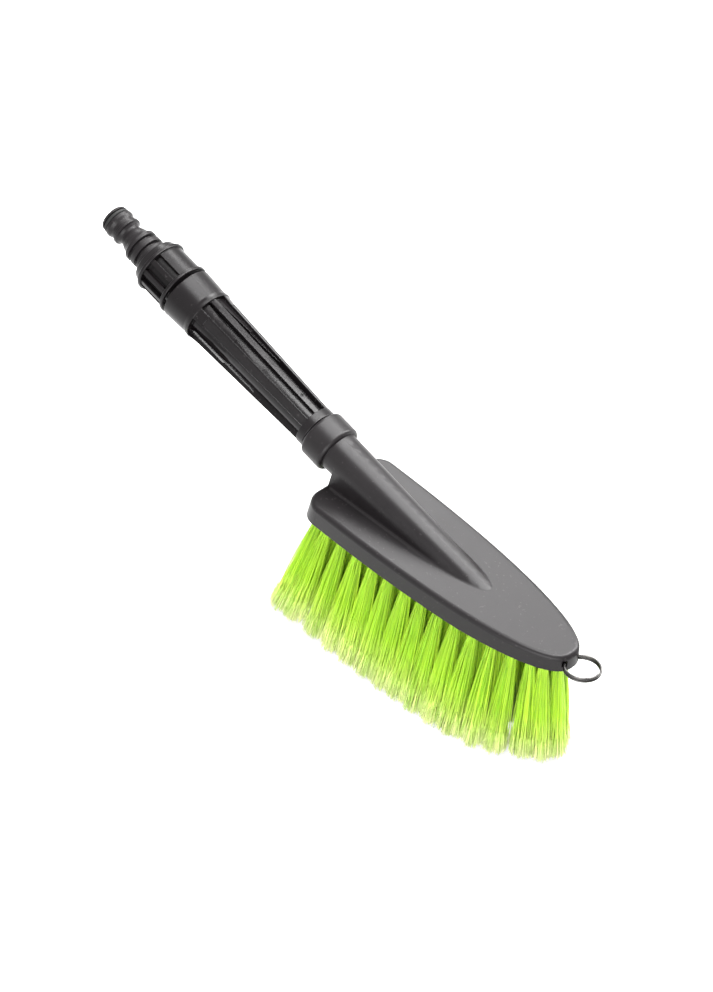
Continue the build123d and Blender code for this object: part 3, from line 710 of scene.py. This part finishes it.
def scatter_fibres(tree, given):
    """Points for a tuft's fibres, which carry where each starts, ends and leans."""
    spots = tree.nodes.new("GeometryNodeMeshToPoints")
    put(tree, spots.inputs["Mesh"], given["Tufts"])
    points = copies(tree, spots.outputs["Points"], given["Fibres"])
    angle = chance(tree, given, "angle", 0.0, full_turn)
    reach = maths(tree, "SQRT", chance(tree, given, "reach"))
    position = tree.nodes.new("GeometryNodeInputPosition").outputs[0]
    root = vector_maths(tree, "ADD", position, disc(tree, given["Root Radius"], reach, angle))
    flared = disc(tree, given["Tip Radius"], reach, angle)
    outward = vector_maths(tree, "MULTIPLY", flared, combine(tree, given["Row Stretch"], 1.0, 1.0))
    turn = chance(tree, given, "scatter angle", 0.0, full_turn)
    scatter = disc(tree, given["Flag Spread"], chance(tree, given, "scatter"), turn)
    shortness = maths(tree, "POWER", chance(tree, given, "shortness"), short_fibre_power)
    short = maths(tree, "MULTIPLY", given["Unevenness"], shortness)
    outer = maths(tree, "MULTIPLY", reach, maths(tree, "MULTIPLY", reach, outer_lift_share))
    raised = maths(tree, "MULTIPLY", given["Unevenness"], outer)
    lift = combine(tree, 0.0, 0.0, maths(tree, "ADD", short, raised))
    offset = vector_maths(tree, "ADD", outward, vector_maths(tree, "ADD", scatter, lift))
    tip = vector_maths(tree, "ADD", recall(tree, "tuft_tip"), offset)
    sway_along = chance(tree, given, "sway along", -1.0, 1.0)
    sway_across = chance(tree, given, "sway across", -1.0, 1.0)
    points = store(tree, points, "fibre_root", "FLOAT_VECTOR", root)
    points = store(tree, points, "fibre_tip", "FLOAT_VECTOR", tip)
    points = store(tree, points, "sway", "FLOAT_VECTOR", combine(tree, sway_along, sway_across, 0.0))
    return store(tree, points, "shade", "FLOAT", chance(tree, given, "shade"))


def split_tips(tree, given, points):
    """Points for the hairs that each fibre's tip splits into."""
    hairs = copies(tree, points, given["Flag Hairs"])
    end = recall(tree, "fibre_tip")
    fork = between(tree, recall(tree, "fibre_root"), end, flag_start_share)
    reach = maths(tree, "SQRT", chance(tree, given, "split"))
    split = disc(tree, given["Flag Spread"], reach, chance(tree, given, "split angle", 0.0, full_turn))
    raised = chance(tree, given, "hair lift", 0.0, flag_lift_share)
    lift = combine(tree, 0.0, 0.0, maths(tree, "MULTIPLY", given["Unevenness"], raised))
    tip = vector_maths(tree, "ADD", end, vector_maths(tree, "ADD", split, lift))
    hairs = store(tree, hairs, "hair_tip", "FLOAT_VECTOR", tip)
    hairs = store(tree, hairs, "fibre_root", "FLOAT_VECTOR", fork)
    return store(tree, hairs, "fibre_tip", "FLOAT_VECTOR", recall(tree, "hair_tip"))


def tuft_tree():
    """Geometry nodes that grow a tuft of fibres at each point of a mesh."""
    tree = bpy.data.node_groups.new("tuft_fibres", "GeometryNodeTree")
    tree_inputs = [
        ("Tufts", "NodeSocketGeometry", None),
        ("Fibres", "NodeSocketInt", fibres_in_tuft),
        ("Root Radius", "NodeSocketFloat", tuft_root_radius),
        ("Tip Radius", "NodeSocketFloat", tuft_tip_radius),
        ("Row Stretch", "NodeSocketFloat", tuft_row_stretch),
        ("Fibre Radius", "NodeSocketFloat", fibre_radius),
        ("Bow", "NodeSocketFloat", fibre_bow),
        ("Unevenness", "NodeSocketFloat", fibre_unevenness),
        ("Flag Hairs", "NodeSocketInt", flag_hairs),
        ("Flag Radius", "NodeSocketFloat", flag_radius),
        ("Flag Spread", "NodeSocketFloat", flag_spread),
        ("Seed", "NodeSocketInt", 1),
        ("Material", "NodeSocketMaterial", None),
    ]
    for label, kind, value in tree_inputs:
        socket = tree.interface.new_socket(label, in_out="INPUT", socket_type=kind)
        if value is not None:
            socket.default_value = value
    tree.interface.new_socket("Bristles", in_out="OUTPUT", socket_type="NodeSocketGeometry")
    given = tree.nodes.new("NodeGroupInput").outputs
    points = scatter_fibres(tree, given)
    hairs = split_tips(tree, given, points)
    fibres = grow(tree, points, fibre_steps, given["Fibre Radius"], given["Bow"], 0.0)
    flags = grow(tree, hairs, flag_steps, given["Flag Radius"], 0.0, flag_start_share)
    join = tree.nodes.new("GeometryNodeJoinGeometry")
    tree.links.new(flags, join.inputs[0])
    tree.links.new(fibres, join.inputs[0])
    paint = tree.nodes.new("GeometryNodeSetMaterial")
    put(tree, paint.inputs["Geometry"], realize(tree, join.outputs[0]))
    put(tree, paint.inputs["Material"], given["Material"])
    result = tree.nodes.new("NodeGroupOutput")
    put(tree, result.inputs[0], paint.outputs["Geometry"])
    return tree


# Pieces of the bristle zones
def set_input(modifier, label, value):
    """Set a modifier's input by the socket's identifier."""
    for item in modifier.node_group.interface.items_tree:
        if item.item_type == "SOCKET" and item.in_out == "INPUT" and item.name == label:
            modifier[item.identifier] = value


def plain_mesh(thing, name):
    """Object with the evaluated mesh of another, which is removed."""
    bpy.context.view_layer.update()
    seen = thing.evaluated_get(bpy.context.evaluated_depsgraph_get())
    mesh = bpy.data.meshes.new_from_object(seen)
    mesh.name = name
    bpy.data.objects.remove(thing)
    return add_object(name, mesh)


def add_slice(zone, material):
    """The slice of the plate that carries a zone's bristles, without its plain strands."""
    shape = bmesh.new()
    shape.from_mesh(node[zone].data)
    bmesh.ops.remove_doubles(shape, verts=shape.verts, dist=slice_merge_gap)
    strands = [vert for vert in shape.verts if vert.co.z < rim_level - strand_start_depth]
    bmesh.ops.delete(shape, geom=strands, context="VERTS")
    rims = [edge for edge in shape.edges if edge.is_boundary]
    bmesh.ops.holes_fill(shape, edges=rims, sides=strand_hole_sides)
    mesh = bpy.data.meshes.new(zone.replace("bristles", "slice"))
    shape.to_mesh(mesh)
    shape.free()
    mesh.materials.clear()
    mesh.materials.append(material)
    piece = add_object(mesh.name, mesh)
    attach(piece, "root")
    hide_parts(zone)


def grow_zone(zone, own, roots, tree, material, seed):
    """Bristles of one zone, in place of its plain strands."""
    mesh = bpy.data.meshes.new(zone + "_roots")
    mesh.from_pydata([tuple(root) for root in own], [], [])
    tips = mesh.attributes.new("tuft_tip", "FLOAT_VECTOR", "POINT")
    for index, root in enumerate(own):
        tips.data[index].vector = tuft_tip(root, roots)
    seedbed = add_object(zone + "_roots", mesh)
    grower = seedbed.modifiers.new("tufts", "NODES")
    grower.node_group = tree
    set_input(grower, "Seed", seed)
    set_input(grower, "Material", material)
    bristles = plain_mesh(seedbed, zone.replace("bristles", "tufts"))
    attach(bristles, "root")
    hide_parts(zone)


# Studio
add_camera()
add_world()
add_floor()
add_softbox("key", key_azimuth, key_elevation, key_distance, key_size, key_size, key_strength)
add_softbox("top", top_azimuth, top_elevation, top_distance, top_width, top_length, top_strength)
add_softbox("back", back_azimuth, back_elevation, back_distance, back_width, back_length, back_strength)
add_softbox("fill", fill_azimuth, fill_elevation, fill_distance, fill_size, fill_size, fill_strength)

# Finishes of the rigid nodes
moulded_grain = make_moulded_grain()
black = moulded_plastic("black_plastic", **black_finish)
handle_black = moulded_plastic("handle_plastic", **handle_finish, strips=make_strip_texture())
rubber = moulded_plastic("seal_rubber", **rubber_finish)
finish_of = {
    "head_cover": black,
    "tuft_plate": black,
    "handle_grip": handle_black,
    "valve_body": handle_black,
    "valve_collar": handle_black,
    "hose_connector": black,
    "hang_ring": wire_metal("ring_steel", ring_colour),
    "tuft_anchors": wire_metal("anchor_steel", anchor_colour),
    "neck_oring": rubber,
    "stem_oring": rubber,
    "valve_orings": rubber,
    "connector_oring": rubber,
    "connector_washer": rubber,
}
for name, material in finish_of.items():
    node[name].data.materials.clear()
    node[name].data.materials.append(material)

# Bristles in their zones
zones = sorted(name for name in node if name.startswith("bristles"))
roots = tuft_roots()
tree = tuft_tree()
lime = lime_filament()
for seed, zone in enumerate(zones, 1):
    low, high = slice_reach(zone)
    own = [root for root in roots if low <= root.x < high]
    for root in own:
        root.z = rim_level
    add_slice(zone, black)
    grow_zone(zone, own, roots, tree, lime, seed)

bpy.context.scene.view_settings.view_transform = "Standard"
